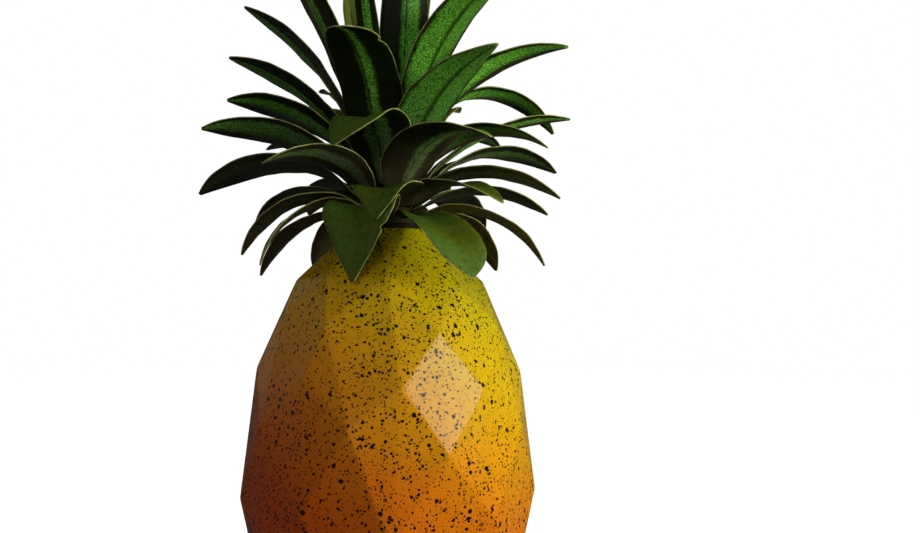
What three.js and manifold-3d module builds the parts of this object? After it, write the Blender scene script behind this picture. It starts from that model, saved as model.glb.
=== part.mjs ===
// Decorative pineapple: a hollow faceted fruit that stands on a felt pad, and a pull-out crown of thin
// die-cut leaves. The crown's stem turns in a plug, and the plug slides in a socket in the fruit's neck.
// Millimetres, +Z up. The origin is the centre of the felt pad's underside. The front faces -Y.
import * as THREE from "three";
import { ConvexGeometry } from "three/addons/geometries/ConvexGeometry.js";
import { mergeVertices } from "three/addons/utils/BufferGeometryUtils.js";
import Module from "manifold-3d";

const wasm = await Module();
wasm.setup();

// ---- Driving dimensions ----
const GAP = 0.3; // between pieces that touch
const ROUND = 32; // sides of a turned piece

const FRUIT_RADIUS = 58; // at the widest
const WIDEST = 65; // height of the widest level
const SHOULDER_RISE = 106; // half height of the ellipse above the widest level
const BELLY_DROP = 78; // half height of the ellipse below it
const FOOT = 2; // the fruit's underside
const NECK = 167; // the fruit's top
const WALL = 3;

const SOCKET_RADIUS = 10.5;
const SOCKET_BORE = 8.3;
const SOCKET_DEPTH = 34;
const FLANGE_RADIUS = 12.5;
const FLANGE_THICK = 1.7;

const STEM_RADIUS = 3.5;
const PLUG_RADIUS = SOCKET_BORE - GAP;
const PLUG_LENGTH = 31;
const CLIP_RADIUS = 6.5;
const CLIP_THICK = 1.2;

const CORE_BASE = 169.2;
const CORE_TOP = 210;
const CORE_RADIUS = 10; // at its base
const CORE_TIP_RADIUS = 6.5; // at its top

const LEAF_THICK = 1.2;
const TAB_LENGTH = 2.2; // how far a leaf's root goes into the core
const TAB_WIDTH = 4;
const WALK = 60; // fine steps in which a leaf's centre line is walked
const STATIONS = [0, 3, 7, 13, 20, 28, 35, 42, 48, 54, 60]; // the steps that carry a section
const ROOT_TURN = 0.08; // share of the length in which a leaf turns up from the core
const FOLD_SPAN = 0.3; // share of the length in which a folded leaf turns over
const CUP = 0.3; // how far a leaf's edges stand up, as a share of its half width
const WIDEST_AT = 0.48; // where a leaf is widest, as a share of its length
const TIP_HALF = 0.7;
const POINTED = 2.2;

const deg = THREE.MathUtils.degToRad;

// ---- Colours ----
const finish = (color, roughness, metalness = 0) =>
  new THREE.MeshStandardMaterial({ color, roughness, metalness });
const PAINT = finish(0xe0a010, 0.3);
const LEAF_GREEN = finish(0x2c4a1c, 0.6);
const CORE_BROWN = finish(0x3a3018, 0.8);
const PLASTIC = finish(0x35301f, 0.5);
const STEEL = finish(0x9a9a98, 0.35, 1);
const IRON = finish(0x4a4a4c, 0.6, 1);
const FELT = finish(0x2f4a2a, 0.95);

// ---- Solids ----
function solid(geometry) {
  const bare = geometry.clone();
  bare.deleteAttribute("normal");
  bare.deleteAttribute("uv");
  const merged = mergeVertices(bare, 1e-4);
  return new wasm.Manifold(
    new wasm.Mesh({
      numProp: 3,
      vertProperties: merged.attributes.position.array,
      triVerts: new Uint32Array(merged.index.array),
    }),
  );
}

function geometryOf(body) {
  const mesh = body.getMesh();
  return new THREE.BufferGeometry()
    .setAttribute("position", new THREE.BufferAttribute(mesh.vertProperties, 3))
    .setIndex(new THREE.BufferAttribute(mesh.triVerts, 1));
}

// A turned piece, from (radius, height) points that start and end on the axis or close on themselves.
function turned(points, sides = ROUND) {
  const profile = points.map(([r, z]) => new THREE.Vector2(r, z));
  return new THREE.LatheGeometry(profile, sides).rotateX(Math.PI / 2);
}

const disc = (radius, low, high, sides) =>
  turned([[0, low], [radius, low], [radius, high], [0, high]], sides);

const ring = (inner, outer, low, high, sides) =>
  turned([[inner, low], [outer, low], [outer, high], [inner, high], [inner, low]], sides);

function named(name, geometry, material) {
  const mesh = new THREE.Mesh(geometry, material);
  mesh.name = name;
  return mesh;
}

// ---- The faceted fruit ----
// Its corners lie on an egg made of two half ellipses, in rows of nine. Each corner is [azimuth, height],
// with the azimuth in degrees from the front towards +X.
const level = (height, ...azimuths) => azimuths.map((azimuth) => [azimuth, height]);
const FRUIT_CORNERS = [
  level(FOOT, -52, -11, 27, 68, 109, 149, 188, 228, 268),
  [[-30, 15], [8, 13], [48, 15], [87, 12], [129, 14], [168, 15], [209, 13], [249, 15], [290, 14]],
  [[-50, 39], [-11, 36], [28, 34], [66, 37], [108, 38], [150, 35], [188, 38], [228, 36], [272, 40]],
  [[-27, 67], [5, 58.5], [45, 62], [85, 65], [127, 63], [167, 66], [207, 62], [246, 66], [286, 64]],
  [[-53, 95], [-10, 97], [26, 87.5], [66, 92], [106, 90], [146, 93], [186, 90], [226, 94], [266, 93]],
  [
    [-31, 113], [9, 110.5], [44.5, 108.5], [84, 111], [126, 112],
    [166, 109], [206, 112], [245, 110], [281, 113],
  ],
  [
    [-60, 135], [-25.5, 131.5], [27, 129], [68, 130], [107, 132],
    [147, 129], [187, 131], [225, 130], [264, 133],
  ],
  [
    [-35, 148], [3, 149], [47.5, 143.5], [88, 146], [128, 148],
    [167, 146], [208, 149], [248, 147], [287, 147],
  ],
  level(NECK, -52, -12, 29, 68, 108, 148, 188, 228, 268),
];

function fruitRadius(height) {
  const above = height - WIDEST;
  const half = above > 0 ? SHOULDER_RISE : BELLY_DROP;
  return FRUIT_RADIUS * Math.sqrt(1 - (above / half) ** 2);
}

// The faceted form, with every corner moved in by inset.
function fruitForm(inset) {
  const points = FRUIT_CORNERS.flat().map(([azimuth, height]) => {
    const radius = fruitRadius(height) - inset;
    const z = THREE.MathUtils.clamp(height, FOOT + inset, NECK - inset);
    return new THREE.Vector3(radius * Math.sin(deg(azimuth)), -radius * Math.cos(deg(azimuth)), z);
  });
  return solid(new ConvexGeometry(points));
}

const SERVICE_HOLE = 26; // radius of the hole in the fruit's underside
const PLATE_THICK = 4;
const PLATE_RIM = 28.5;
const RIM_THICK = 1;
const NECK_OPENING = 7; // depth of the hole for the socket

function fruitShell() {
  const beyond = 1;
  const rimSeat = disc(PLATE_RIM + GAP, FOOT - beyond, FOOT + RIM_THICK + GAP);
  const hole = disc(SERVICE_HOLE, FOOT - beyond, FOOT + WALL + beyond);
  const flangeSeat = disc(FLANGE_RADIUS + GAP, NECK - FLANGE_THICK - GAP, NECK + beyond);
  const neckHole = disc(SOCKET_RADIUS + GAP, NECK - NECK_OPENING, NECK + beyond);
  const shell = [rimSeat, hole, flangeSeat, neckHole].reduce(
    (body, tool) => body.subtract(solid(tool)),
    fruitForm(0).subtract(fruitForm(WALL)),
  );
  return geometryOf(shell);
}

// ---- The base: a plate that closes the service hole, a screwed-on weight and a felt pad ----
const SCREW_RADIUS = 2;
const SCREW_HEAD = 4;
const SCREW_LENGTH = 18;
const HEAD_DEPTH = 2;
const SINK_DEPTH = 2.4; // of the countersink in the plate
const WEIGHT_RADIUS = 19;
const WEIGHT_HEIGHT = 24;
const FELT_RADIUS = 30;
const PLATE_TOP = FOOT + PLATE_THICK;

function basePlate() {
  const hub = SERVICE_HOLE - GAP;
  const hole = SCREW_RADIUS + GAP;
  const sink = SCREW_HEAD + GAP;
  return turned([
    [hole, FOOT + SINK_DEPTH],
    [sink, FOOT],
    [PLATE_RIM, FOOT],
    [PLATE_RIM, FOOT + RIM_THICK],
    [hub, FOOT + RIM_THICK],
    [hub, PLATE_TOP],
    [hole, PLATE_TOP],
    [hole, FOOT + SINK_DEPTH],
  ]);
}

function baseScrew() {
  const head = FOOT + GAP;
  return turned([
    [0, head],
    [SCREW_HEAD - GAP, head],
    [SCREW_RADIUS, head + HEAD_DEPTH],
    [SCREW_RADIUS, head + SCREW_LENGTH],
    [0, head + SCREW_LENGTH],
  ]);
}

function baseWeight() {
  const bore = SCREW_RADIUS + GAP;
  const low = PLATE_TOP + GAP;
  const depth = FOOT + SCREW_LENGTH + 5 * GAP;
  const high = low + WEIGHT_HEIGHT;
  return turned([
    [bore, low],
    [WEIGHT_RADIUS, low],
    [WEIGHT_RADIUS, high],
    [0, high],
    [0, depth],
    [bore, depth],
    [bore, low],
  ]);
}

// ---- The neck: socket, plug, stem and clip ----
const SEAT = NECK - FLANGE_THICK; // underside of the socket's flange
const PLUG_FLANGE = NECK + GAP;
const PLUG_LOW = NECK - PLUG_LENGTH;
const POCKET_DEPTH = 5; // of the clip's pocket in the plug's lower end
const GROOVE_DEPTH = 0.8; // of the clip's groove in the stem

function crownSocket() {
  const low = NECK - SOCKET_DEPTH;
  const floor = low + SOCKET_RADIUS - SOCKET_BORE;
  return turned([
    [0, low],
    [SOCKET_RADIUS, low],
    [SOCKET_RADIUS, SEAT],
    [FLANGE_RADIUS, SEAT],
    [FLANGE_RADIUS, NECK],
    [SOCKET_BORE, NECK],
    [SOCKET_BORE, floor],
    [0, floor],
  ]);
}

function crownPlug() {
  const bore = STEM_RADIUS + GAP;
  const pocket = CLIP_RADIUS + GAP;
  const pocketTop = PLUG_LOW + POCKET_DEPTH;
  return turned([
    [pocket, PLUG_LOW],
    [PLUG_RADIUS - 1, PLUG_LOW],
    [PLUG_RADIUS, PLUG_LOW + 1],
    [PLUG_RADIUS, PLUG_FLANGE],
    [FLANGE_RADIUS - 1, PLUG_FLANGE],
    [FLANGE_RADIUS - 1, CORE_BASE - GAP],
    [bore, CORE_BASE - GAP],
    [bore, pocketTop],
    [pocket, pocketTop],
    [pocket, PLUG_LOW],
  ]);
}

const CLIP_TOP = PLUG_LOW + POCKET_DEPTH - GAP;
const STEM_LOW = CLIP_TOP - 2 * CLIP_THICK;
const STEM_TOP = CORE_TOP - 12;

// A groove near the stem's lower end holds the clip.
function crownStem() {
  const groove = STEM_RADIUS - GROOVE_DEPTH;
  return turned([
    [0, STEM_LOW],
    [STEM_RADIUS, STEM_LOW],
    [STEM_RADIUS, CLIP_TOP - CLIP_THICK - GAP / 2],
    [groove, CLIP_TOP - CLIP_THICK - GAP / 2],
    [groove, CLIP_TOP + GAP / 2],
    [STEM_RADIUS, CLIP_TOP + GAP / 2],
    [STEM_RADIUS, STEM_TOP],
    [0, STEM_TOP],
  ]);
}

const stemClip = () =>
  ring(STEM_RADIUS - GROOVE_DEPTH + GAP, CLIP_RADIUS, CLIP_TOP - CLIP_THICK, CLIP_TOP, 24);

// ---- The leaves ----
// A leaf comes out of the core at turn (degrees from the front towards +X) and at its root height, and
// turns up at once to its rise. From there its slope changes to fall at the tip: evenly where bend is 1,
// late where it is over 1, and in a fold at that share of the length where it is under 1. sweep turns its
// heading sideways from root to tip, and roll twists its blade.
// Each row is [turn, root height, rise, fall, bend, length, width, sweep, roll], then tip where it differs.
const LEAVES = {
  // first tier: hangs over the fruit's shoulder
  leaf_1_1: [-15, 172, 10, -75, 0.42, 49, 28, 0, 11, 1.2],
  leaf_1_2: [37, 172, 2, -56, 1, 54, 24, -3, 0, 3.6],
  leaf_1_3: [88, 172, 20, -60, 1, 60, 20, 0, -10],
  leaf_1_4: [132, 172, 14, -60, 1, 58, 20, 0, 0],
  leaf_1_5: [173, 173, 29, -66, 1, 59, 20, 1, 2],
  leaf_1_6: [215, 172, 15, -70, 1, 59, 19.8, 12, 0],
  leaf_1_7: [256, 172, 12, -65, 1, 56, 18, 0, 0],
  leaf_1_8: [-61, 173.6, 24, -74, 1, 54, 17.4, 6, 20],
  // second tier
  leaf_2_1: [6, 175, 17, -73, 0.66, 37, 28, -29, 4, 1.2],
  leaf_2_2: [53, 176.3, 37, -37, 1, 48, 20.9, 0, 2],
  leaf_2_3: [99, 175, 31, -32, 1, 58, 19.6, 0, -10],
  leaf_2_4: [145, 176, 34, -50, 1, 64, 22, 0, 0],
  leaf_2_5: [192, 176, 32, -50, 1, 64, 22, 0, 0],
  leaf_2_6: [236, 176.7, 32, -49, 1, 76, 20, -1, 0],
  leaf_2_7: [-82, 175.9, 24, -66, 1, 57, 20, 0, 15],
  // third tier
  leaf_3_1: [-43, 180.1, 47, -25, 1, 54, 23.1, 0, 18],
  leaf_3_2: [26, 180, 54, -28, 1.5, 58, 27, 36, 0],
  leaf_3_3: [78, 180, 33, -34, 1, 62, 19.7, 0, -17],
  leaf_3_4: [120, 181, 50, -26, 1, 78, 20, -2, -15],
  leaf_3_5: [166, 180, 44, -39, 1, 73, 24, -1, -2],
  leaf_3_6: [214, 180, 31, -34, 1, 72, 22, 0, 0],
  leaf_3_7: [-94, 179.3, 43, -36, 1, 74, 22.5, -2, 25],
  // fourth tier
  leaf_4_1: [-3, 184, 60, -40, 0.58, 52, 27, -46, 0, 3],
  leaf_4_2: [67, 185.3, 60, -34, 1, 64, 17.2, 0, -15],
  leaf_4_3: [106, 183.8, 50, 2, 1, 78, 16.4, 1, -15],
  leaf_4_4: [146, 185.4, 61, -20, 1, 74, 21.8, -12, 0],
  leaf_4_5: [192, 184, 52, -20, 1, 74, 22, 0, 0],
  leaf_4_6: [240, 184, 52, -10, 1, 62, 18.7, 0, 1],
  leaf_4_7: [-76, 182.5, 48, -6, 1, 69, 23.7, 0, 26],
  // fifth tier
  leaf_5_1: [-19, 190.7, 78, -9, 2.5, 65, 25.3, -1, -2, 4],
  leaf_5_2: [38, 188.8, 70, 14, 1, 68, 25, 14, 0],
  leaf_5_3: [116, 199.5, 73, -50, 1, 83, 16.1, 0, -15],
  leaf_5_4: [157, 189, 65, 0, 1.02, 76, 22, 0, -3],
  leaf_5_5: [220, 186.5, 65, 1, 1, 81, 22, 0, 0],
  leaf_5_6: [-82, 188.1, 58, 2, 1, 64, 23.7, 0, 25],
  // sixth tier
  leaf_6_1: [80, 192.6, 76, 0, 1, 82, 19.9, 0, -13],
  leaf_6_2: [154, 194, 66, 16, 1, 76, 18.1, 3, -2],
  leaf_6_3: [212, 194.1, 66, 10, 1, 67, 20, 9, 13],
  leaf_6_4: [-92, 196.5, 73, 32, 1, 81, 20.4, -2, 24],
  leaf_6_5: [-83, 191.3, 64, 17, 1, 71, 21.2, -1, 19],
  // seventh tier
  leaf_7_1: [-66, 201.1, 77, 53, 1, 92, 19.1, -1, 15],
  leaf_7_2: [52, 199, 89, 10, 1, 92, 22, 0, 0],
  leaf_7_3: [157, 202.9, 75, 34, 1, 92, 16.8, 2, -4],
  leaf_7_4: [208, 199, 82, 48, 1, 91, 16.5, 0, 0],
  leaf_7_5: [-20, 198.7, 85, 65, 1, 84, 9, 0, -4],
  // heart: upright leaves
  leaf_8_1: [30, 205, 87, 81, 1, 86, 19.3, -2, -11],
  leaf_8_2: [112, 205, 88, 80, 1, 86, 20, 1, -1],
  leaf_8_3: [252, 205, 88, 82, 1, 86, 20, 0, 0],
};

function coreRadius(height) {
  const share = (height - CORE_BASE) / (CORE_TOP - CORE_BASE);
  return THREE.MathUtils.lerp(CORE_RADIUS, CORE_TIP_RADIUS, share);
}

// Half width of a blade at share t of its length: a narrow root, a full belly and a tip that is straight
// sided where tip is near 1 and round where it is high.
function halfWidth(width, t, tip) {
  if (t < WIDEST_AT) {
    const grown = Math.sin((t / WIDEST_AT) * Math.PI / 2) ** 0.65;
    return THREE.MathUtils.lerp(TAB_WIDTH, width, grown) / 2;
  }
  const past = (t - WIDEST_AT) / (1 - WIDEST_AT);
  return TIP_HALF + (width / 2 - TIP_HALF) * (1 - past ** tip);
}

// Directions of a blade that heads along azimuth at a slope: along it, across it, and off its upper face.
function heading(azimuth, slope, twist) {
  const along = new THREE.Vector3(
    Math.sin(deg(azimuth)) * Math.cos(deg(slope)),
    -Math.cos(deg(azimuth)) * Math.cos(deg(slope)),
    Math.sin(deg(slope)),
  );
  const side = new THREE.Vector3(Math.cos(deg(azimuth)), Math.sin(deg(azimuth)), 0);
  side.applyAxisAngle(along, deg(twist));
  return { along, side, normal: new THREE.Vector3().crossVectors(along, side) };
}

// How much of a leaf's bend lies behind share t of its length.
function bent(t, bend) {
  if (bend >= 1) return t ** bend;
  return THREE.MathUtils.smoothstep(t, bend - FOLD_SPAN / 2, bend + FOLD_SPAN / 2);
}

// The sections of a leaf from its tab in the core to its tip.
function leafStations([turn, height, rise, fall, bend, length, width, sweep, roll, tip = POINTED]) {
  const at = (t) => {
    const slope = (rise + (fall - rise) * bent(t, bend)) * Math.min(1, t / ROOT_TURN);
    return heading(turn + sweep * t, slope, roll * t);
  };
  const root = at(0);
  const centre = root.along.clone().multiplyScalar(coreRadius(height)).setZ(height);
  const tab = centre.clone().addScaledVector(root.along, -TAB_LENGTH);
  const stations = [{ ...root, centre: tab, half: TAB_WIDTH / 2, cup: 0 }];
  for (let i = 0; i <= WALK; i++) {
    const t = i / WALK;
    if (STATIONS.includes(i)) {
      const half = halfWidth(width, t, tip);
      const cup = CUP * half * Math.min(1, 5 * t) * (1 - 0.7 * t);
      stations.push({ ...at(t), centre: centre.clone(), half, cup });
    }
    centre.addScaledVector(at(t + 0.5 / WALK).along, length / WALK);
  }
  return stations;
}

// A blade lofted through its stations, with a shallow V section.
function blade(stations) {
  const positions = [];
  const index = [];
  const thick = LEAF_THICK / 2;
  for (const { centre, side, normal, half, cup } of stations) {
    for (const [across, lift, face] of [
      [-1, cup, 1], [0, 0, 1], [1, cup, 1], [1, cup, -1], [0, 0, -1], [-1, cup, -1],
    ]) {
      const point = centre.clone().addScaledVector(side, across * half);
      point.addScaledVector(normal, lift + face * thick);
      positions.push(...point.toArray());
    }
  }
  const around = 6;
  for (let row = 0; row < stations.length - 1; row++) {
    for (let k = 0; k < around; k++) {
      const a = row * around + k;
      const b = row * around + ((k + 1) % around);
      index.push(a, a + around, b, b, a + around, b + around);
    }
  }
  const last = (stations.length - 1) * around;
  for (const [a, b, c] of [[0, 1, 5], [1, 4, 5], [1, 2, 4], [2, 3, 4]]) {
    index.push(a, b, c, last + a, last + c, last + b);
  }
  return new THREE.BufferGeometry()
    .setAttribute("position", new THREE.Float32BufferAttribute(positions, 3))
    .setIndex(index);
}

// The slot in the core for a leaf's tab.
function tabSlot([turn, height]) {
  const depth = TAB_LENGTH + GAP;
  const reach = coreRadius(height) - depth;
  return new THREE.BoxGeometry(TAB_WIDTH + 2 * GAP, depth + 2, LEAF_THICK + 2 * GAP)
    .translate(0, -reach - (depth + 2) / 2, height)
    .rotateZ(deg(turn));
}

// The core that carries the leaves: a taper with a slot for each leaf's tab and a bore for the stem.
function crownCore() {
  const bore = STEM_RADIUS + GAP;
  const taper = turned([
    [bore, CORE_BASE],
    [CORE_RADIUS, CORE_BASE],
    [CORE_TIP_RADIUS, CORE_TOP],
    [0, CORE_TOP],
    [0, STEM_TOP + GAP],
    [bore, STEM_TOP + GAP],
    [bore, CORE_BASE],
  ]);
  const slots = Object.values(LEAVES).map((leaf) => solid(tabSlot(leaf)));
  return geometryOf(slots.reduce((core, slot) => core.subtract(slot), solid(taper)));
}

// ---- Assembly ----
const pineapple = new THREE.Group();

const fruit = new THREE.Group();
fruit.add(
  named("fruit_shell", fruitShell(), PAINT),
  named("base_plate", basePlate(), PLASTIC),
  named("base_screw", baseScrew(), STEEL),
  named("base_weight", baseWeight(), IRON),
  named("felt_pad", disc(FELT_RADIUS, 0, FOOT - GAP), FELT),
  named("crown_socket", crownSocket(), PLASTIC),
);

const plug = new THREE.Group();
plug.add(named("crown_plug", crownPlug(), PLASTIC));

const crown = new THREE.Group();
crown.add(
  named("crown_stem", crownStem(), STEEL),
  named("stem_clip", stemClip(), STEEL),
  named("crown_core", crownCore(), CORE_BROWN),
);
for (const [name, leaf] of Object.entries(LEAVES)) {
  crown.add(named(name, blade(leafStations(leaf)), LEAF_GREEN));
}

pineapple.add(fruit, plug, crown);

export default pineapple;
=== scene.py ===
"""Decorative pineapple: a glossy, faceted, speckled fruit with a crown of thin mottled leaves."""
import math
import random

import bmesh
import bpy
import numpy as np
from mathutils import Matrix, Vector, noise


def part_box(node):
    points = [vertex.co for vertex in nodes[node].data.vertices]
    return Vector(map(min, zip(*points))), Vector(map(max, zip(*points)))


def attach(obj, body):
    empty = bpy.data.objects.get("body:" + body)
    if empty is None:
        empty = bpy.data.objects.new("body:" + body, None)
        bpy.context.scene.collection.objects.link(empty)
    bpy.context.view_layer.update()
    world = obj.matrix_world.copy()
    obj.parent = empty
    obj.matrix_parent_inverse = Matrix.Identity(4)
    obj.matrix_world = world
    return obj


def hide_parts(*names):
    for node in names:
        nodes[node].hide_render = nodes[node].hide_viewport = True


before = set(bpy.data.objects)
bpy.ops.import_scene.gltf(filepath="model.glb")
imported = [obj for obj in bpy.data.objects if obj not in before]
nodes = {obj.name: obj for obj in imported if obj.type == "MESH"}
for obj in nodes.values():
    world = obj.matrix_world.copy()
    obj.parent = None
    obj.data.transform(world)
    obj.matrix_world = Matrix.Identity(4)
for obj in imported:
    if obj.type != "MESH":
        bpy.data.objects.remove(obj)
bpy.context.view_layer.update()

MM = 0.001
scene = bpy.context.scene


# ---------------------------------------------------------------- camera
CAMERA_AT = Vector((28.2, -340, 152.2)) * MM
LENS = 33.26  # millimetres, like the sensor's width
SENSOR_WIDTH = 36
CLIP_START = 0.01


def make_camera():
    data = bpy.data.cameras.new("camera")
    data.lens = LENS
    data.sensor_width = SENSOR_WIDTH
    data.clip_start = CLIP_START
    camera = bpy.data.objects.new("camera", data)
    camera.location = CAMERA_AT
    camera.rotation_euler = (math.radians(90), 0, 0)
    scene.collection.objects.link(camera)
    scene.camera = camera


# ---------------------------------------------------------------- node helpers
class Nodes:
    """A small builder for one material's node tree."""

    def __init__(self, name):
        self.material = bpy.data.materials.new(name)
        self.material.use_nodes = True
        self.tree = self.material.node_tree
        self.tree.nodes.clear()
        self.shader = self.add("ShaderNodeBsdfPrincipled")
        output = self.add("ShaderNodeOutputMaterial")
        self.link(self.shader.outputs[0], output.inputs["Surface"])

    def add(self, kind, **settings):
        node = self.tree.nodes.new(kind)
        for key, value in settings.items():
            setattr(node, key, value)
        return node

    def link(self, source, target):
        self.tree.links.new(source, target)

    def feed(self, socket, value):
        """Links a socket, or sets a plain value."""
        if isinstance(value, bpy.types.NodeSocket):
            self.link(value, socket)
        else:
            socket.default_value = value

    def place(self, scale=(1, 1, 1)):
        """Object coordinates in metres, stretched by scale."""
        mapping = self.add("ShaderNodeMapping")
        mapping.inputs["Scale"].default_value = scale
        self.link(self.add("ShaderNodeTexCoord").outputs["Object"], mapping.inputs["Vector"])
        return mapping.outputs[0]

    def attribute(self, name):
        return self.add("ShaderNodeAttribute", attribute_name=name).outputs["Fac"]

    def math(self, operation, *values):
        node = self.add("ShaderNodeMath", operation=operation)
        for socket, value in zip(node.inputs, values):
            self.feed(socket, value)
        return node.outputs[0]

    def parts(self, kind, source):
        """The outputs of a node that splits a vector or a colour."""
        node = self.add(kind)
        self.link(source, node.inputs[0])
        return node.outputs

    def shaken(self, place, scale, reach):
        """The place, moved about by noise so that a pattern's lines turn ragged."""
        wobble = self.add("ShaderNodeTexNoise")
        self.link(place, wobble.inputs["Vector"])
        wobble.inputs["Scale"].default_value = scale
        moved = self.add("ShaderNodeVectorMath", operation="MULTIPLY_ADD")
        self.link(wobble.outputs["Color"], moved.inputs[0])
        moved.inputs[1].default_value = (reach, reach, reach)
        self.link(place, moved.inputs[2])
        return moved.outputs[0]

    def step(self, value, low, high, to_low=0.0, to_high=1.0):
        """A smooth step from low to high."""
        node = self.add("ShaderNodeMapRange", interpolation_type="SMOOTHSTEP")
        for socket, number in zip(node.inputs[:5], (value, low, high, to_low, to_high)):
            self.feed(socket, number)
        return node.outputs[0]

    def noise(self, place, scale, detail=4.0, roughness=0.55, distortion=0.0):
        node = self.add("ShaderNodeTexNoise")
        self.link(place, node.inputs["Vector"])
        node.inputs["Scale"].default_value = scale
        node.inputs["Detail"].default_value = detail
        node.inputs["Roughness"].default_value = roughness
        node.inputs["Distortion"].default_value = distortion
        return node.outputs[0]

    def cells(self, place, scale, feature="F1"):
        node = self.add("ShaderNodeTexVoronoi", feature=feature)
        self.link(place, node.inputs["Vector"])
        node.inputs["Scale"].default_value = scale
        return node

    def mix(self, factor, a, b):
        node = self.add("ShaderNodeMix", data_type="RGBA")
        self.feed(node.inputs["Factor"], factor)
        self.feed(node.inputs["A"], a)
        self.feed(node.inputs["B"], b)
        return node.outputs["Result"]

    def ramp(self, factor, stops):
        node = self.add("ShaderNodeValToRGB")
        elements = node.color_ramp.elements
        while len(elements) < len(stops):
            elements.new(0.5)
        for element, (position, color) in zip(elements, stops):
            element.position = position
            element.color = (*color, 1)
        self.link(factor, node.inputs[0])
        return node.outputs[0]

    def bump(self, height, strength, distance, under=None):
        node = self.add("ShaderNodeBump")
        node.inputs["Strength"].default_value = strength
        node.inputs["Distance"].default_value = distance
        self.link(height, node.inputs["Height"])
        if under is not None:
            self.link(under, node.inputs["Normal"])
        self.link(node.outputs[0], self.shader.inputs["Normal"])
        return node.outputs[0]

    def set(self, **values):
        """Sets or links the shader's sockets, named with underscores."""
        for key, value in values.items():
            self.feed(self.shader.inputs[key.replace("_", " ")], value)


def rgba(red, green, blue):
    return (red, green, blue, 1)


# ---------------------------------------------------------------- fruit
FACET_STEPS = 16  # grid steps along a facet's edge
EDGE_PULL = 1.9  # over 1 draws the grid towards the facets' edges
EDGE_SHARPNESS = 14.0  # per millimetre: the higher, the tighter the rounded edges
WALL = 3 * MM
MERGE_ANGLE = 0.3  # degrees between faces that count as one facet
CREASE_ANGLE = 35  # degrees from which an edge is shaded sharp
SOLVE_STEPS = 5  # Newton steps onto the softened surface
GAP = 0.3 * MM  # between the shell and the pieces in its holes
NECK_HOLE, NECK_DEPTH = 10.8 * MM, 7 * MM  # radius and depth of the hole for the socket
FLANGE_SEAT = 2 * MM  # depth of the seat for the socket's flange
RIM_SEAT = 1.3 * MM  # depth of the seat for the base plate's rim
SERVICE_HOLE = 26 * MM  # radius of the hole in the underside


def hull_of(points):
    """The convex hull of points as a bmesh with flat faces merged."""
    hull = bmesh.new()
    for point in points:
        hull.verts.new(point)
    made = bmesh.ops.convex_hull(hull, input=hull.verts)
    spare = [v for v in made["geom_interior"] + made["geom_unused"] if isinstance(v, bmesh.types.BMVert)]
    bmesh.ops.delete(hull, geom=list(set(spare)), context="VERTS")
    bmesh.ops.dissolve_limit(hull, angle_limit=math.radians(MERGE_ANGLE), verts=hull.verts, edges=hull.edges)
    bmesh.ops.recalc_face_normals(hull, faces=hull.faces)
    return hull


def facet_grid(corners):
    """Points and triangles of a grid on a triangle, denser towards its edges."""
    index, points, triangles = {}, [], []
    for i in range(FACET_STEPS + 1):
        for j in range(FACET_STEPS + 1 - i):
            share = np.array((i, j, FACET_STEPS - i - j)) / FACET_STEPS
            weight = share**EDGE_PULL
            index[i, j] = len(points)
            points.append(weight @ corners / weight.sum())
    for i in range(FACET_STEPS):
        for j in range(FACET_STEPS - i):
            triangles.append((index[i, j], index[i + 1, j], index[i, j + 1]))
            if i + j < FACET_STEPS - 1:
                triangles.append((index[i + 1, j], index[i + 1, j + 1], index[i, j + 1]))
    return points, triangles


def soften(points, normals, offsets, centre):
    """Moves points along rays from centre onto a soft intersection of the facet planes."""
    rays = points - centre
    reach = np.linalg.norm(rays, axis=1)
    rays /= reach[:, None]
    slope = rays @ normals.T
    for _ in range(SOLVE_STEPS):
        height = (centre + rays * reach[:, None]) @ normals.T - offsets
        top = height.max(axis=1, keepdims=True)
        share = np.exp((height - top) * EDGE_SHARPNESS / MM)
        total = share.sum(axis=1, keepdims=True)
        level = top[:, 0] + np.log(total[:, 0]) * MM / EDGE_SHARPNESS
        reach -= level / (share / total * slope).sum(axis=1)
    return centre + rays * reach[:, None]


def mesh_object(name, points, faces):
    mesh = bpy.data.meshes.new(name)
    mesh.from_pydata([tuple(p) for p in points], [], faces)
    mesh.update()
    made = bpy.data.objects.new(name, mesh)
    scene.collection.objects.link(made)
    return made


def cylinder_cutter(radius, low, high, sides=96):
    cutter = bmesh.new()
    bmesh.ops.create_cone(
        cutter, cap_ends=True, segments=sides, radius1=radius, radius2=radius, depth=high - low,
        matrix=Matrix.Translation((0, 0, (low + high) / 2)),
    )
    return cutter


def cut(target, cutter):
    """Subtracts a bmesh from an object's mesh."""
    mesh = bpy.data.meshes.new("cutter")
    cutter.to_mesh(mesh)
    cutter.free()
    tool = bpy.data.objects.new("cutter", mesh)
    scene.collection.objects.link(tool)
    modifier = target.modifiers.new("cut", "BOOLEAN")
    modifier.operation = "DIFFERENCE"
    modifier.solver = "EXACT"
    modifier.object = tool
    graph = bpy.context.evaluated_depsgraph_get()
    target.data = bpy.data.meshes.new_from_object(target.evaluated_get(graph))
    target.modifiers.clear()
    bpy.data.objects.remove(tool)


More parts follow.
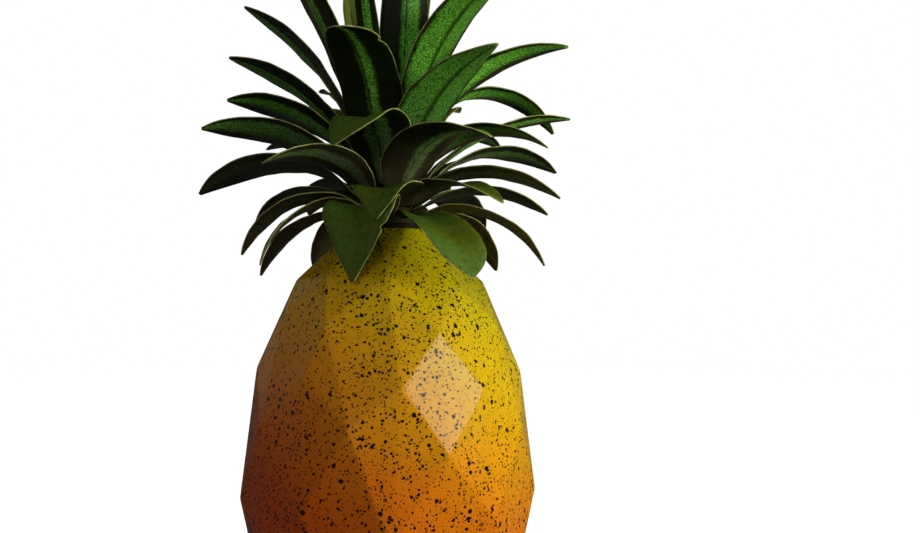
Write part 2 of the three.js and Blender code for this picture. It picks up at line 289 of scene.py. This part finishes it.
def make_fruit():
    """The fruit's skin on the shell's own facets, with soft edges, hollow, and with its two holes."""
    corners = [v.co.copy() for v in nodes["fruit_shell"].data.vertices]
    hull = hull_of(corners)
    low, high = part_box("fruit_shell")
    centre = np.array((0, 0, (low[2] + high[2]) / 2))
    normals = np.array([f.normal for f in hull.faces])
    offsets = np.array([f.normal.dot(f.verts[0].co) for f in hull.faces])
    ring = [v.co.copy() for v in hull.verts]
    bmesh.ops.triangulate(hull, faces=hull.faces)
    points, faces, seen = [], [], {}
    for face in hull.faces:
        grid, triangles = facet_grid(np.array([v.co for v in face.verts]))
        keys = []
        for point in grid:
            key = tuple(np.round(point / MM, 4))
            if key not in seen:
                seen[key] = len(points)
                points.append(point)
            keys.append(seen[key])
        faces.extend(tuple(keys[k] for k in triangle) for triangle in triangles)
    hull.free()
    fruit = mesh_object("fruit_skin", soften(np.array(points), normals, offsets, centre), faces)

    inner = []
    for corner in ring:
        out = Vector((corner.x, corner.y, 0))
        height = min(max(corner.z, low[2] + WALL), high[2] - WALL)
        inner.append(out.normalized() * (out.length - WALL) + Vector((0, 0, height)))
    cut(fruit, hull_of(inner))
    _, socket_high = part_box("crown_socket")
    plate_low, plate_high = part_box("base_plate")
    above, below = high[2] + MM, low[2] - MM
    cut(fruit, cylinder_cutter(socket_high[0] + GAP, socket_high[2] - FLANGE_SEAT, above))
    cut(fruit, cylinder_cutter(NECK_HOLE, high[2] - NECK_DEPTH, above))
    cut(fruit, cylinder_cutter(plate_high[0] + GAP, below, plate_low[2] + RIM_SEAT))
    cut(fruit, cylinder_cutter(SERVICE_HOLE, below, low[2] + 2 * WALL))
    for polygon in fruit.data.polygons:
        polygon.use_smooth = True
    fruit.data.set_sharp_from_angle(angle=math.radians(CREASE_ANGLE))
    fruit.data.materials.clear()
    fruit.data.materials.append(paint_material())
    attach(fruit, "fruit")
    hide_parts("fruit_shell")


# Cells per metre, the least and most radius as a share of a cell, and the share of cells with a speck.
SPECKS = ((1200, 0.22, 0.37, 0.85), (720, 0.25, 0.42, 0.65), (370, 0.21, 0.37, 0.42))


def speckle(m, place):
    """Dark spatter: many pinpricks, some larger drops and a few big ones."""
    shaken = m.shaken(place, 800, 1.1 * MM)
    crowd = m.step(m.noise(place, 38, 2), 0.35, 0.65, 0.55, 1.0)
    marks = []
    for scale, least, most, share in SPECKS:
        cell = m.cells(shaken, scale)
        size, chance = m.parts("ShaderNodeSeparateColor", cell.outputs["Color"])[:2]
        radius = m.math("MULTIPLY_ADD", m.math("POWER", size, 2.0), most - least, least)
        wanted = m.math("LESS_THAN", chance, m.math("MULTIPLY", crowd, share))
        inside = m.math("SUBTRACT", m.math("MULTIPLY", radius, wanted), cell.outputs["Distance"])
        marks.append(m.step(inside, -0.01, 0.015))
    specks = marks[0]
    for mark in marks[1:]:
        specks = m.math("MAXIMUM", specks, mark)
    return specks


def paint_material():
    """Airbrushed paint, lime at the shoulder through yellow to rust below, and redder on the left as
    painted shade on the side away from the key light; spattered with dark specks, under a clear gloss."""
    m = Nodes("fruit_paint")
    place = m.place()
    across, _, up = m.parts("ShaderNodeSeparateXYZ", place)
    rising = m.math("MULTIPLY_ADD", up, 5.0, -0.22)
    # Painted shade: the colour shifts towards rust on the left, the side turned from the key light, and
    # towards yellow on the right.
    painted_side_shade = m.math("MULTIPLY", across, 3.8)
    sway = m.math("MULTIPLY", m.math("SUBTRACT", m.noise(place, 22, 3), 0.5), 0.16)
    ripeness_and_side_shade = m.math("ADD", m.math("ADD", rising, painted_side_shade), sway)
    color = m.ramp(m.step(ripeness_and_side_shade, -0.1, 1.0), [
        (0.0, (0.68, 0.080, 0.002)),
        (0.18, (0.78, 0.190, 0.002)),
        (0.38, (0.78, 0.36, 0.003)),
        (0.58, (0.72, 0.47, 0.004)),
        (0.75, (0.50, 0.45, 0.003)),
        (1.0, (0.20, 0.24, 0.002)),
    ])
    mottle = m.step(m.noise(place, 160, 5, 0.65), 0.35, 0.75)
    color = m.mix(m.math("MULTIPLY", mottle, 0.15), color, rgba(0.42, 0.20, 0.01))
    hair = m.step(m.noise(place, 1300, 3, 0.6, 1.2), 0.57, 0.66)
    color = m.mix(m.math("MULTIPLY", hair, 0.35), color, rgba(0.20, 0.13, 0.004))
    specks = speckle(m, place)
    color = m.mix(specks, color, rgba(0.010, 0.006, 0.004))
    m.set(Base_Color=color, Roughness=0.42, Specular_IOR_Level=0.2)
    m.set(Coat_Weight=0.85, Coat_Roughness=0.09)
    ripple = m.noise(place, 70, 2)
    grain = m.noise(place, 1500, 3)
    low = m.bump(ripple, 0.25, 0.0006)
    m.bump(m.math("ADD", grain, m.math("MULTIPLY", specks, 0.8)), 0.12, 0.0001, low)
    return m.material


# ---------------------------------------------------------------- leaves
# As in the CAD model: (turn, root height, rise, fall, bend, length, width, sweep, roll, tip), in degrees
# and millimetres. The tip's exponent is left out where it is POINTED.
LEAVES = {
    "leaf_1_1": (-15, 172, 10, -75, 0.42, 49, 28, 0, 11, 1.2),
    "leaf_1_2": (37, 172, 2, -56, 1, 54, 24, -3, 0, 3.6),
    "leaf_1_3": (88, 172, 20, -60, 1, 60, 20, 0, -10),
    "leaf_1_4": (132, 172, 14, -60, 1, 58, 20, 0, 0),
    "leaf_1_5": (173, 173, 29, -66, 1, 59, 20, 1, 2),
    "leaf_1_6": (215, 172, 15, -70, 1, 59, 19.8, 12, 0),
    "leaf_1_7": (256, 172, 12, -65, 1, 56, 18, 0, 0),
    "leaf_1_8": (-61, 173.6, 24, -74, 1, 54, 17.4, 6, 20),
    "leaf_2_1": (6, 175, 17, -73, 0.66, 37, 28, -29, 4, 1.2),
    "leaf_2_2": (53, 176.3, 37, -37, 1, 48, 20.9, 0, 2),
    "leaf_2_3": (99, 175, 31, -32, 1, 58, 19.6, 0, -10),
    "leaf_2_4": (145, 176, 34, -50, 1, 64, 22, 0, 0),
    "leaf_2_5": (192, 176, 32, -50, 1, 64, 22, 0, 0),
    "leaf_2_6": (236, 176.7, 32, -49, 1, 76, 20, -1, 0),
    "leaf_2_7": (-82, 175.9, 24, -66, 1, 57, 20, 0, 15),
    "leaf_3_1": (-43, 180.1, 47, -25, 1, 54, 23.1, 0, 18),
    "leaf_3_2": (26, 180, 54, -28, 1.5, 58, 27, 36, 0),
    "leaf_3_3": (78, 180, 33, -34, 1, 62, 19.7, 0, -17),
    "leaf_3_4": (120, 181, 50, -26, 1, 78, 20, -2, -15),
    "leaf_3_5": (166, 180, 44, -39, 1, 73, 24, -1, -2),
    "leaf_3_6": (214, 180, 31, -34, 1, 72, 22, 0, 0),
    "leaf_3_7": (-94, 179.3, 43, -36, 1, 74, 22.5, -2, 25),
    "leaf_4_1": (-3, 184, 60, -40, 0.58, 52, 27, -46, 0, 3),
    "leaf_4_2": (67, 185.3, 60, -34, 1, 64, 17.2, 0, -15),
    "leaf_4_3": (106, 183.8, 50, 2, 1, 78, 16.4, 1, -15),
    "leaf_4_4": (146, 185.4, 61, -20, 1, 74, 21.8, -12, 0),
    "leaf_4_5": (192, 184, 52, -20, 1, 74, 22, 0, 0),
    "leaf_4_6": (240, 184, 52, -10, 1, 62, 18.7, 0, 1),
    "leaf_4_7": (-76, 182.5, 48, -6, 1, 69, 23.7, 0, 26),
    "leaf_5_1": (-19, 190.7, 78, -9, 2.5, 65, 25.3, -1, -2, 4),
    "leaf_5_2": (38, 188.8, 70, 14, 1, 68, 25, 14, 0),
    "leaf_5_3": (116, 199.5, 73, -50, 1, 83, 16.1, 0, -15),
    "leaf_5_4": (157, 189, 65, 0, 1.02, 76, 22, 0, -3),
    "leaf_5_5": (220, 186.5, 65, 1, 1, 81, 22, 0, 0),
    "leaf_5_6": (-82, 188.1, 58, 2, 1, 64, 23.7, 0, 25),
    "leaf_6_1": (80, 192.6, 76, 0, 1, 82, 19.9, 0, -13),
    "leaf_6_2": (154, 194, 66, 16, 1, 76, 18.1, 3, -2),
    "leaf_6_3": (212, 194.1, 66, 10, 1, 67, 20, 9, 13),
    "leaf_6_4": (-92, 196.5, 73, 32, 1, 81, 20.4, -2, 24),
    "leaf_6_5": (-83, 191.3, 64, 17, 1, 71, 21.2, -1, 19),
    "leaf_7_1": (-66, 201.1, 77, 53, 1, 92, 19.1, -1, 15),
    "leaf_7_2": (52, 199, 89, 10, 1, 92, 22, 0, 0),
    "leaf_7_3": (157, 202.9, 75, 34, 1, 92, 16.8, 2, -4),
    "leaf_7_4": (208, 199, 82, 48, 1, 91, 16.5, 0, 0),
    "leaf_7_5": (-20, 198.7, 85, 65, 1, 84, 9, 0, -4),
    "leaf_8_1": (30, 205, 87, 81, 1, 86, 19.3, -2, -11),
    "leaf_8_2": (112, 205, 88, 80, 1, 86, 20, 1, -1),
    "leaf_8_3": (252, 205, 88, 82, 1, 86, 20, 0, 0),
}
LEAF_THICK = 0.6
TAB_LENGTH = 2.2
TAB_WIDTH = 4
ROOT_TURN = 0.08  # share of the length in which a leaf turns from level to its rise
FOLD_SPAN = 0.3  # share of the length that a fold takes
CUP = 0.3  # how far the edges lift, as a share of the half width
WIDEST_AT = 0.48
TIP_HALF = 0.7
POINTED = 2.2  # exponent of a leaf's taper to its tip
CORE_BASE, CORE_TOP = 169.2, 210
CORE_RADIUS, CORE_TIP_RADIUS = 10, 6.5

ROWS = 46  # sections along a leaf's fine mesh
FINER = 3  # steps of the centre line to a section
ACROSS = 11  # points across one face
RIM_BULGE = 0.2  # how far the rim stands out, in millimetres
NICK_DEPTH, NICK_LENGTH = 1.8, 0.018  # in millimetres, and as a share of the leaf's length
LOWER_TIERS = 181  # root height up to which a leaf's band gets a low gain and is painted faint, partly as shade under the tiers above
# The light band of a lower face: how far it reaches and where its middle lies, as shares of the half
# width, and its gain, which sets the band's own brightness and is also painted light on the leaves it
# raises.
BANDS = {
    "leaf_5_1": (0.2, 0.12, 2.4), "leaf_5_2": (0.95, 0, 1), "leaf_8_1": (0.42, 0.22, 2.2),
    "leaf_7_2": (0.9, 0, 1.2), "leaf_6_5": (0.6, -0.3, 2), "leaf_5_6": (0.4, 0.2, 2.2),
    "leaf_3_1": (0.3, 0.35, 2), "leaf_3_2": (0.3, 0.1, 1.7), "leaf_3_3": (0.4, -0.2, 1.6),
    "leaf_3_4": (0.4, -0.2, 1.6), "leaf_6_4": (0.5, -0.2, 1.6), "leaf_7_1": (0.3, 0, 1.6),
}
# Where a nick lies along a leaf, and on which side.
NICKS = {"leaf_1_1": (0.6, 1), "leaf_5_1": (0.78, 1), "leaf_3_2": (0.62, 1), "leaf_2_1": (0.5, -1)}


def core_radius(height):
    """The core's radius at a height, in millimetres."""
    share = (height - CORE_BASE) / (CORE_TOP - CORE_BASE)
    return CORE_RADIUS + (CORE_TIP_RADIUS - CORE_RADIUS) * share


def half_width(width, t, tip):
    """Half a leaf's width at share t of its length."""
    if t < WIDEST_AT:
        grown = math.sin(t / WIDEST_AT * math.pi / 2) ** 0.65
        return (TAB_WIDTH + (width - TAB_WIDTH) * grown) / 2
    past = (t - WIDEST_AT) / (1 - WIDEST_AT)
    return TIP_HALF + (width / 2 - TIP_HALF) * (1 - past**tip)


def heading(azimuth, slope, twist):
    """Unit vectors along a blade, across it, and off its upper face."""
    turn, rise = math.radians(azimuth), math.radians(slope)
    along = Vector((math.sin(turn) * math.cos(rise), -math.cos(turn) * math.cos(rise), math.sin(rise)))
    side = Matrix.Rotation(math.radians(twist), 3, along) @ Vector((math.cos(turn), math.sin(turn), 0))
    return along, side, along.cross(side)


def bent(t, bend):
    """How much of a leaf's bend lies behind share t of its length."""
    if bend >= 1:
        return t**bend
    x = min(1, max(0, (t - bend) / FOLD_SPAN + 0.5))
    return x * x * (3 - 2 * x)


def leaf_sections(leaf, rows):
    """Yields share of the length, centre, side, normal, half width and cup from a leaf's tab to its tip."""
    turn, height, rise, fall, bend, length, width, sweep, roll, tip = (*leaf, POINTED)[:10]

    def at(t):
        slope = (rise + (fall - rise) * bent(t, bend)) * min(1, t / ROOT_TURN)
        return heading(turn + sweep * t, slope, roll * t)

    along, side, normal = at(0)
    centre = along * core_radius(height)
    centre.z = height
    yield 0, centre - along * TAB_LENGTH, side, normal, TAB_WIDTH / 2, 0
    steps = rows * FINER
    for i in range(steps + 1):
        t = i / steps
        if i % FINER == 0:
            along, side, normal = at(t)
            half = half_width(width, t, tip)
            yield t, centre.copy(), side, normal, half, CUP * half * min(1, 5 * t) * (1 - 0.7 * t)
        centre += at(t + 0.5 / steps)[0] * (length / steps)


def blade_point(t, k, half, cup, nick, shift):
    """How far a point at share k of the half width reaches aside and lifts, and the half thickness."""
    nick_at, nick_side = nick
    fade = min(1, 4 * t)
    edge = abs(k) ** 3
    sway = noise.noise(Vector((t * 5 + shift, k * 1.3, 0)))
    ripple = noise.noise(Vector((t * 14 + shift, k * 3, 7)))
    reach = half * k * (1 + 0.04 * fade * noise.noise(Vector((t * 9, k, shift))))
    if nick_side * k > 0:
        reach -= nick_side * NICK_DEPTH * edge * math.exp(-(((t - nick_at) / NICK_LENGTH) ** 2))
    fold = math.sqrt(k * k + 0.012) - 0.11
    lift = cup * fold * 1.1 + fade * half * (0.07 * sway * edge + 0.02 * ripple)
    return reach, lift, LEAF_THICK / 2 * (1 - 0.25 * edge)


def blade_points(leaf, nick, shift):
    """A leaf's points in rings, each over the upper face and back under it, and their place across."""
    points, places = [], []
    spread = [k / (ACROSS - 1) * 2 - 1 for k in range(ACROSS)]
    for t, centre, side, normal, half, cup in leaf_sections(leaf, ROWS):
        for face in (1, -1):
            for k in spread if face == 1 else reversed(spread):
                reach, lift, thick = blade_point(t, k, half, cup, nick, shift)
                points.append((centre + side * reach + normal * (lift + face * thick)) * MM)
                places.append(k)
            rim = points[-1] / MM - normal * face * LEAF_THICK * 0.375 + side * face * RIM_BULGE
            points.append(rim * MM)
            places.append(face)
    return points, places


def blade_faces(rings):
    """The faces between rings and at both ends, and each face's material: top, under or rim."""
    top, under, rim = range(3)
    faces, kinds = [], []
    around = 2 * ACROSS + 2
    for ring in range(rings - 1):
        for k in range(around):
            a, b = ring * around + k, ring * around + (k + 1) % around
            faces.append((a, b, b + around, a + around))
            kinds.append(top if k < ACROSS - 1 else under if ACROSS < k < around - 2 else rim)
    faces.append(tuple(reversed(range(around))))
    faces.append(tuple(range((rings - 1) * around, rings * around)))
    return faces, kinds + [rim, rim]


def make_leaf(name, leaf, materials):
    """A leaf blade with a soft fold along its middle, wavy edges, thin rims and small nicks."""
    seed = random.Random(name)
    shift = seed.uniform(0, 100)
    points, places = blade_points(leaf, NICKS.get(name, (0, 0)), shift)
    faces, kinds = blade_faces(len(points) // (2 * ACROSS + 2))
    leaf_object = mesh_object(name + "_blade", points, faces)
    mesh = leaf_object.data
    middle = -0.3 * math.sin(math.radians(leaf[0]))
    # The last number is the band's gain: high on the upper tiers, as painted light, and low on the lower
    # ones, as painted shade.
    plain = (seed.uniform(0.35, 0.55), middle, 2.2 if leaf[1] > LOWER_TIERS else 0.7)
    fields = {"across": places}
    for field, number in zip(("lush", "middle", "band_gain_and_light"), BANDS.get(name, plain)):
        fields[field] = [number] * len(points)
    for field, numbers in fields.items():
        values = mesh.attributes.new(field, "FLOAT", "POINT")
        values.data.foreach_set("value", numbers)
    for material in materials:
        mesh.materials.append(material)
    mesh.polygons.foreach_set("material_index", kinds)
    mesh.polygons.foreach_set("use_smooth", [True] * len(kinds))
    check = bmesh.new()
    check.from_mesh(mesh)
    bmesh.ops.recalc_face_normals(check, faces=check.faces)
    check.to_mesh(mesh)
    check.free()
    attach(leaf_object, "crown")
    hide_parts(name)


def leaf_top_material():
    """Upper face: olive to mid green, finely grained, with a few pale pinprick flecks."""
    m = Nodes("leaf_top")
    place = m.place()
    color = m.ramp(m.noise(place, 28, 3), [
        (0.35, (0.100, 0.112, 0.005)),
        (0.5, (0.084, 0.140, 0.010)),
        (0.68, (0.076, 0.175, 0.026)),
    ])
    grain = m.noise(place, 650, 5, 0.75)
    color = m.mix(m.math("MULTIPLY", m.step(grain, 0.52, 0.38), 0.6), color, rgba(0.030, 0.050, 0.005))
    cell = m.cells(place, 420)
    chance = m.parts("ShaderNodeSeparateColor", cell.outputs["Color"])[0]
    rare = m.math("LESS_THAN", chance, 0.25)
    fleck = m.math("MULTIPLY", m.step(cell.outputs["Distance"], 0.16, 0.08), rare)
    color = m.mix(m.math("MULTIPLY", fleck, 0.5), color, rgba(0.30, 0.34, 0.12))
    m.set(Base_Color=color, Roughness=0.52, Specular_IOR_Level=0.4)
    m.bump(grain, 0.3, 0.00012)
    return m.material


def leaf_under_material():
    """Lower face: blackish green, browner on the lower tiers, with a lacy light band beside its fold whose
    per-leaf gain is partly painted light.
    """
    m = Nodes("leaf_under")
    place = m.place()
    signed = m.attribute("across")
    across = m.math("ABSOLUTE", m.math("SUBTRACT", signed, m.attribute("middle")))
    fold = m.math("ABSOLUTE", signed)
    lush = m.attribute("lush")
    dark = m.ramp(m.noise(place, 45, 3), [
        (0.3, (0.005, 0.009, 0.002)),
        (0.6, (0.009, 0.017, 0.003)),
        (0.8, (0.024, 0.024, 0.009)),
    ])
    lace = m.cells(m.shaken(place, 700, 1.2 * MM), 950, "DISTANCE_TO_EDGE")
    web = m.step(lace.outputs["Distance"], 0.03, 0.20, 0.25, 1.0)
    ragged = m.math("MULTIPLY", m.math("SUBTRACT", m.noise(place, 260, 3), 0.5), 0.3)
    spread = m.math("ADD", across, ragged)
    band = m.step(m.math("SUBTRACT", lush, spread), -0.06, 0.16)
    rib_width = m.step(lush, 0.5, 0.9, 0.06, 0.2)
    rib = m.step(m.math("ADD", fold, m.math("MULTIPLY", ragged, 0.5)), 0.0, rib_width, 0.15, 1.0)
    light = m.math("MULTIPLY", m.math("MULTIPLY", band, rib), web)
    height = m.parts("ShaderNodeSeparateXYZ", place)[2]
    fresh = m.step(height, 0.185, 0.225)
    pale = m.mix(fresh, rgba(0.075, 0.115, 0.050), rgba(0.115, 0.38, 0.030))
    patchy = m.step(m.noise(place, 30, 2), 0.35, 0.6)
    brown = m.mix(patchy, rgba(0.030, 0.025, 0.012), rgba(0.046, 0.036, 0.017))
    dark = m.mix(m.step(height, 0.206, 0.184), dark, brown)
    # The band's colour times its per-leaf gain: partly its own brightness, partly painted light.
    band_with_painted_light = m.add("ShaderNodeVectorMath", operation="SCALE")
    m.link(pale, band_with_painted_light.inputs[0])
    m.link(m.attribute("band_gain_and_light"), band_with_painted_light.inputs["Scale"])
    color = m.mix(m.math("MULTIPLY", light, 0.9), dark, band_with_painted_light.outputs[0])
    m.set(Base_Color=color, Roughness=0.4, Specular_IOR_Level=0.45)
    grain = m.noise(place, 800, 4, 0.65)
    m.bump(m.math("ADD", grain, m.math("MULTIPLY", light, 0.7)), 0.35, 0.0002)
    return m.material


def leaf_rim_material():
    """The cut edge, where the pale inside of the sheet shows."""
    m = Nodes("leaf_rim")
    place = m.place()
    color = m.ramp(m.noise(place, 260, 4), [(0.35, (0.20, 0.23, 0.05)), (0.7, (0.48, 0.52, 0.18))])
    m.set(Base_Color=color, Roughness=0.7)
    m.bump(m.noise(place, 1500, 3), 0.4, 0.0001)
    return m.material


def make_leaves():
    materials = [leaf_top_material(), leaf_under_material(), leaf_rim_material()]
    for name, leaf in LEAVES.items():
        make_leaf(name, leaf, materials)


# ---------------------------------------------------------------- carried-over pieces
UPRIGHT_GRAIN = (1, 1, 0.2)
TURNED_GRAIN = (1, 1, 14)


def grained_material(name, dark, light, roughness, scale, metallic=0.0, bump=0.3, stretch=(1, 1, 1)):
    """A material whose colour drifts between two tones, with a fine surface grain."""
    m = Nodes(name)
    place = m.place(stretch)
    drift = m.noise(place, scale / 6, 4)
    color = m.ramp(drift, [(0.3, dark), (0.7, light)])
    m.set(Base_Color=color, Roughness=roughness, Metallic=metallic)
    m.bump(m.noise(place, scale, 5, 0.65), bump, 0.0002)
    return m.material


def dress_cad_nodes():
    """Gives the CAD pieces that are shown as they are their materials."""
    # Near-black plastic: the real colour of these pieces, kept this dark also as painted shade, so the plug
    # in the fruit's neck passes for the shadow there.
    plastic = grained_material("dark_plastic", (0.012, 0.009, 0.005), (0.030, 0.022, 0.012), 0.7, 700)
    steel = grained_material(
        "brushed_steel", (0.42, 0.42, 0.40), (0.62, 0.62, 0.60), 0.3, 900, 1.0, 0.15, TURNED_GRAIN)
    iron = grained_material("cast_iron", (0.05, 0.05, 0.052), (0.11, 0.10, 0.10), 0.65, 500, 0.9, 0.6)
    felt = grained_material("felt", (0.015, 0.035, 0.014), (0.035, 0.07, 0.03), 0.95, 1600, 0.0, 0.9)
    core = grained_material(
        "core", (0.018, 0.020, 0.008), (0.040, 0.036, 0.016), 0.85, 400, 0.0, 0.8, UPRIGHT_GRAIN)
    wear = {
        "base_plate": plastic, "base_screw": steel, "base_weight": iron, "felt_pad": felt,
        "crown_socket": plastic, "crown_plug": plastic, "crown_stem": steel, "stem_clip": steel,
        "crown_core": core,
    }
    for name, material in wear.items():
        nodes[name].data.materials.clear()
        nodes[name].data.materials.append(material)


# ---------------------------------------------------------------- studio
FRUIT_MIDDLE = Vector((0, 0, 0.12))
FLOOR_RADIUS = 1.2
FLOOR_SIDES = 96


def aim(thing, target):
    thing.rotation_euler = (target - thing.location).to_track_quat("-Z", "Y").to_euler()


def soft_box(name, azimuth, elevation, distance, width, height, power, color=(1, 1, 1), glossy=True):
    """An area light seen from the fruit at azimuth (from the front towards +X) and elevation."""
    data = bpy.data.lights.new(name, "AREA")
    data.shape = "RECTANGLE"
    data.size, data.size_y = width, height
    data.energy = power
    data.color = color
    light = bpy.data.objects.new(name, data)
    turn, rise = math.radians(azimuth), math.radians(elevation)
    light.location = FRUIT_MIDDLE + distance * Vector(
        (math.sin(turn) * math.cos(rise), -math.cos(turn) * math.cos(rise), math.sin(rise)))
    aim(light, FRUIT_MIDDLE)
    light.visible_glossy = glossy
    scene.collection.objects.link(light)


def make_lights():
    soft_box("window", 53, 17, 0.9, 0.42, 0.30, 1.05, (1, 0.97, 0.92))
    soft_box("key", 74, 5, 1.1, 0.4, 0.4, 10.3, (1, 0.97, 0.90), glossy=False)
    soft_box("top", 100, 60, 1.2, 0.7, 0.7, 5, glossy=False)
    soft_box("front", -12, 18, 1.3, 0.5, 0.4, 2.1, glossy=False)
    soft_box("left_fill", -75, 20, 1.2, 0.8, 0.6, 0.7, glossy=False)
    soft_box("left_wall", -112, 16, 1.2, 1.4, 0.8, 0.45, (1, 0.78, 0.36))
    soft_box("back", 205, 22, 1.3, 0.8, 0.6, 2.5, glossy=False)
    soft_box("right_back", 160, -4, 1.2, 0.8, 0.5, 0.12, (1, 0.75, 0.35))


def make_world():
    """White behind everything, and a dim warm light all round."""
    world = bpy.data.worlds.new("studio")
    scene.world = world
    world.use_nodes = True
    tree = world.node_tree
    tree.nodes.clear()
    output = tree.nodes.new("ShaderNodeOutputWorld")
    blend = tree.nodes.new("ShaderNodeMixShader")
    dim, pale = tree.nodes.new("ShaderNodeBackground"), tree.nodes.new("ShaderNodeBackground")
    dim.inputs[0].default_value = (1, 0.98, 0.9, 1)
    dim.inputs[1].default_value = 0.035
    pale.inputs[0].default_value = (1, 1, 1, 1)
    path = tree.nodes.new("ShaderNodeLightPath")
    tree.links.new(path.outputs["Is Camera Ray"], blend.inputs[0])
    tree.links.new(dim.outputs[0], blend.inputs[1])
    tree.links.new(pale.outputs[0], blend.inputs[2])
    tree.links.new(blend.outputs[0], output.inputs[0])
    scene.view_settings.view_transform = "Standard"


def make_floor():
    """A pale round floor that fades into the white behind it."""
    floor = bmesh.new()
    bmesh.ops.create_circle(floor, cap_ends=True, segments=FLOOR_SIDES, radius=FLOOR_RADIUS)
    mesh = bpy.data.meshes.new("floor")
    floor.to_mesh(mesh)
    floor.free()
    ground = bpy.data.objects.new("floor", mesh)
    scene.collection.objects.link(ground)
    m = Nodes("floor")
    place = m.place()
    reach = m.add("ShaderNodeVectorMath", operation="LENGTH")
    m.link(place, reach.inputs[0])
    fade = m.step(reach.outputs["Value"], 0.15, 1.1, 1.0, 0.0)
    m.set(Base_Color=rgba(0.9, 0.9, 0.88), Roughness=0.7, Alpha=fade)
    m.set(Emission_Color=rgba(1, 1, 1), Emission_Strength=0.7)
    ground.data.materials.append(m.material)
    ground.visible_diffuse = False
    ground.visible_glossy = False


make_camera()
make_fruit()
make_leaves()
dress_cad_nodes()
make_lights()
make_world()
make_floor()
